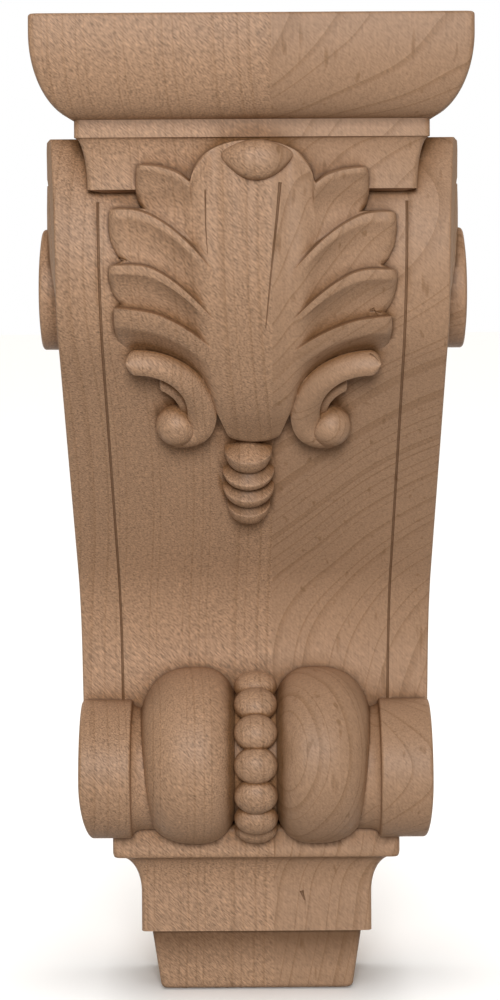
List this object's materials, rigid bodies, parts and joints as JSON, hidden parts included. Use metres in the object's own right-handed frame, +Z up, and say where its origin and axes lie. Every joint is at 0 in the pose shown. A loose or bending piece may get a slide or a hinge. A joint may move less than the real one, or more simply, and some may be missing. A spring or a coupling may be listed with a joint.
{
  "type": "carved corbel bracket",
  "caption": "Carved wooden wall corbel: moulded square cap, acanthus leaf over a scrolled face, bead drop, turned roll and stepped foot; carries a shelf or mantel.",
  "frame": {"origin": "middle of the flat back face that is fixed to the wall", "axes": "+Y out of the back into the wall, +Z up, the carved front faces -Y"},
  "size_m": [0.1584, 0.1524, 0.3682],
  "materials": {
    "wood": "sanded bare maple"
  },
  "bodies": {
    "root": {"corbel": "wood"}
  },
  "joints": []
}
